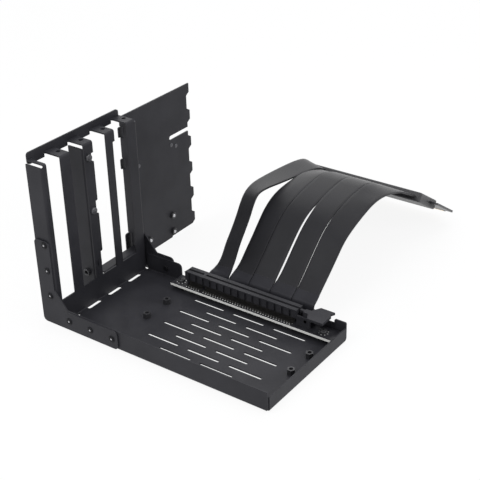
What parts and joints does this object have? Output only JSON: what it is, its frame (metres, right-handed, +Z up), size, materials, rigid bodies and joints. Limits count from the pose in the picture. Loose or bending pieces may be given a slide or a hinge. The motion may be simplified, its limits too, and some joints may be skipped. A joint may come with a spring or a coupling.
{
  "type": "vertical gpu bracket",
  "caption": "Vertical graphics card bracket: folded perforated tray, slotted panel with side plate, riser board with long card slot and flat riser cable.",
  "frame": {"origin": "middle of the tray floor's underside, between two rows of vents", "axes": "+X along the tray away from the slot panel, +Y from the open side to the riser board, +Z up"},
  "size_m": [0.1774, 0.2712, 0.1173],
  "materials": {
    "powder_coat": "satin",
    "rivet_metal": "satin",
    "black_screw": "satin",
    "zinc_steel": "satin",
    "board_mask": "gloss",
    "slot_plastic": "matte",
    "contact_gold": "polished",
    "cable_film": "satin"
  },
  "bodies": {
    "frame": {"bracket_body": "powder_coat", "near_brace": "powder_coat", "far_brace": "powder_coat", "near_brace_rivets": "rivet_metal", "far_brace_rivets": "rivet_metal", "centre_angle": "powder_coat", "sill_ledge": "powder_coat", "angle_screws": "black_screw", "angle_nut": "black_screw", "plate_rivets": "rivet_metal", "plate_nuts": "black_screw", "plate_screws": "zinc_steel", "spare_standoffs": "black_screw", "riser_standoffs": "black_screw", "riser_board": "board_mask", "riser_screws": "zinc_steel", "slot_connector": "slot_plastic", "slot_contacts": "contact_gold", "cable_clamp": "slot_plastic", "cable_strip_1": "cable_film", "cable_strip_2": "cable_film", "cable_strip_3": "cable_film", "cable_strip_4": "cable_film", "cable_strip_5": "cable_film", "plug_cover": "slot_plastic", "plug_board": "board_mask", "plug_contacts": "contact_gold"},
    "latch": {"slot_latch": "slot_plastic"}
  },
  "joints": [
    {"name": "slot_latch_hinge", "type": "hinge", "parent": "frame", "child": "latch", "pos_m": [0.05595, 0.03735, 0.0102], "axis": [0, 1, 0], "range_deg": [0, 12]}
  ]
}
